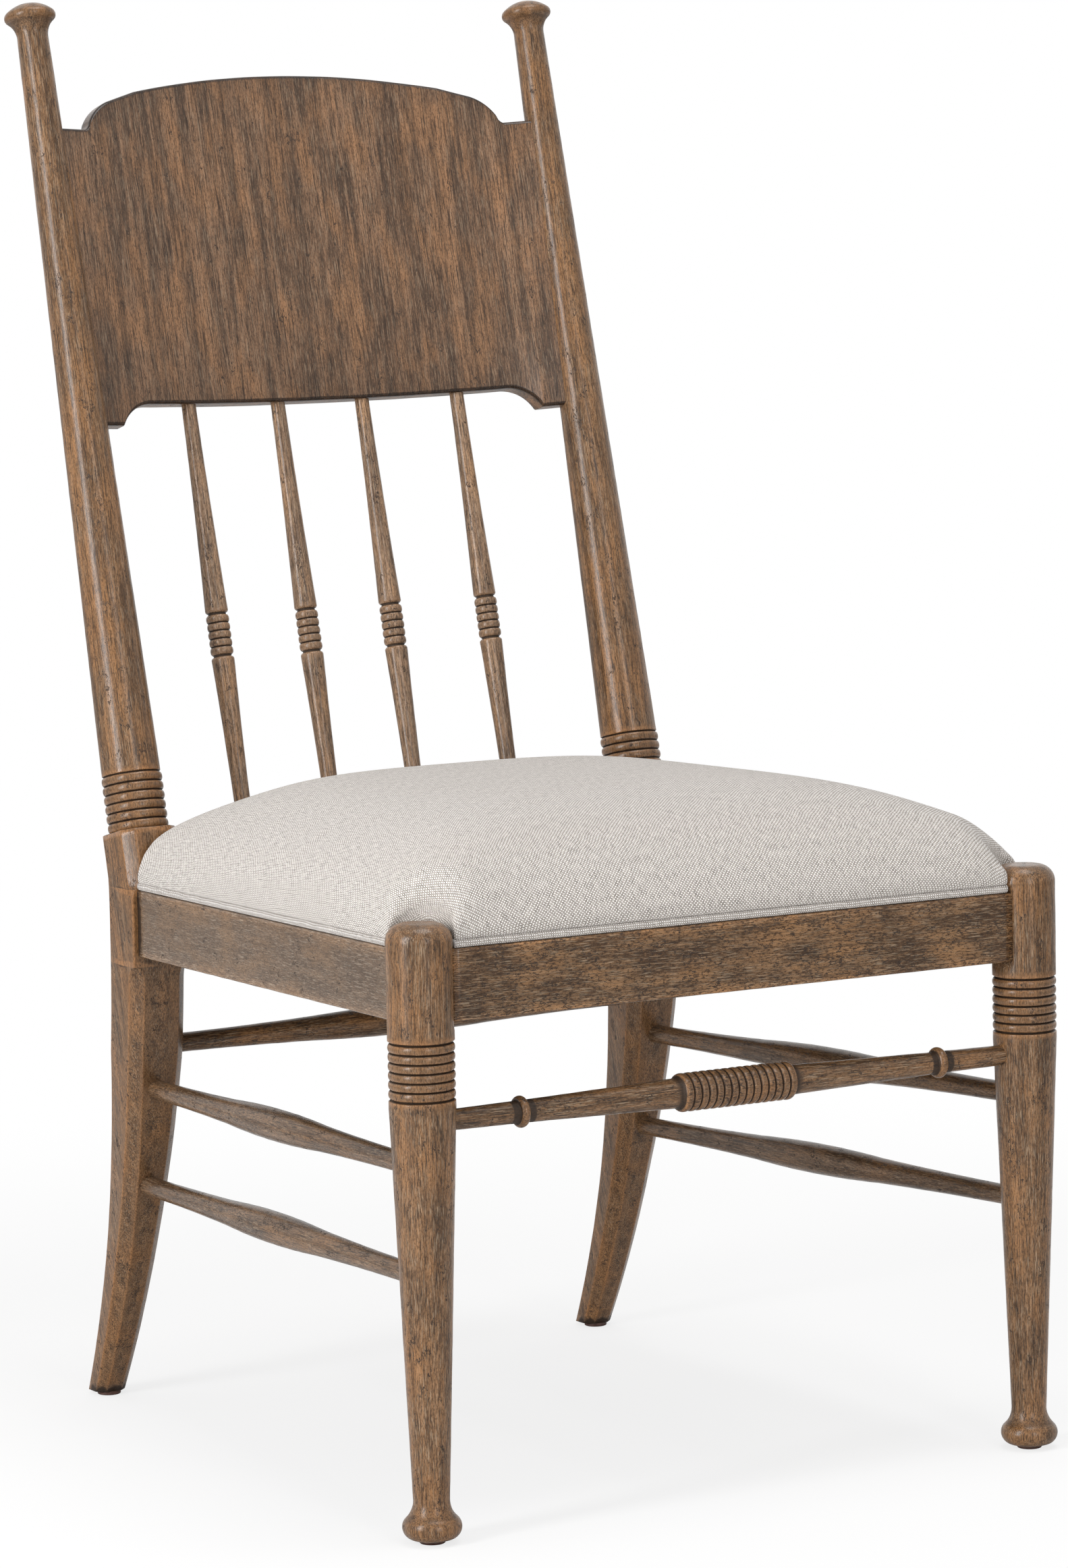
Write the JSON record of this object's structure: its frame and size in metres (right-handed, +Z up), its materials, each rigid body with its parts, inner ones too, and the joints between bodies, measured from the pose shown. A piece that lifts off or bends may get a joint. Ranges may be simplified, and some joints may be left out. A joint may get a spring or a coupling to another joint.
{
  "type": "side chair",
  "caption": "Turned wooden side chair: bowed solid back over beaded spindles, ring-turned legs and stretchers, and an upholstered seat with welted edges.",
  "frame": {"origin": "on the floor, under the middle of the chair's overall width and depth", "axes": "+X to the chair's right as seen from the front, -Y to the front, +Z up"},
  "size_m": [0.5448, 0.6794, 1.0657],
  "materials": {
    "wood": "satin lacquer over a mid-brown stain with a grey glaze and distress marks",
    "wood_turned": "satin lacquer over a mid-brown stain, darker in the grooves",
    "wood_inner": "unfinished softwood",
    "plywood": "unfinished plywood",
    "foam": "polyurethane foam",
    "linen": "light grey-beige basket-weave linen",
    "dust_cloth": "black non-woven cloth",
    "glide": "dark reddish-brown nylon",
    "screw": "zinc plated"
  },
  "bodies": {
    "root": {"back_panel": "wood", "back_spindle_1": "wood_turned", "back_spindle_2": "wood_turned", "back_spindle_3": "wood_turned", "back_spindle_4": "wood_turned", "corner_block_front_left": "wood_inner", "corner_block_front_right": "wood_inner", "corner_block_rear_left": "wood_inner", "corner_block_rear_right": "wood_inner", "corner_block_screws": "screw", "dust_cover": "dust_cloth", "front_leg_left": "wood_turned", "front_leg_right": "wood_turned", "front_seat_rail": "wood", "front_stretcher": "wood_turned", "glide_front_left": "glide", "glide_front_right": "glide", "glide_rear_left": "glide", "glide_rear_right": "glide", "lower_side_stretcher_left": "wood_turned", "lower_side_stretcher_right": "wood_turned", "rear_post_left": "wood", "rear_post_right": "wood", "rear_seat_rail": "wood", "rear_stretcher": "wood_turned", "seat_board": "plywood", "seat_cover": "linen", "seat_foam": "foam", "seat_screws": "screw", "seat_welt_front": "linen", "seat_welt_left": "linen", "seat_welt_right": "linen", "side_seat_rail_left": "wood", "side_seat_rail_right": "wood", "upper_side_stretcher_left": "wood_turned", "upper_side_stretcher_right": "wood_turned"}
  },
  "joints": []
}
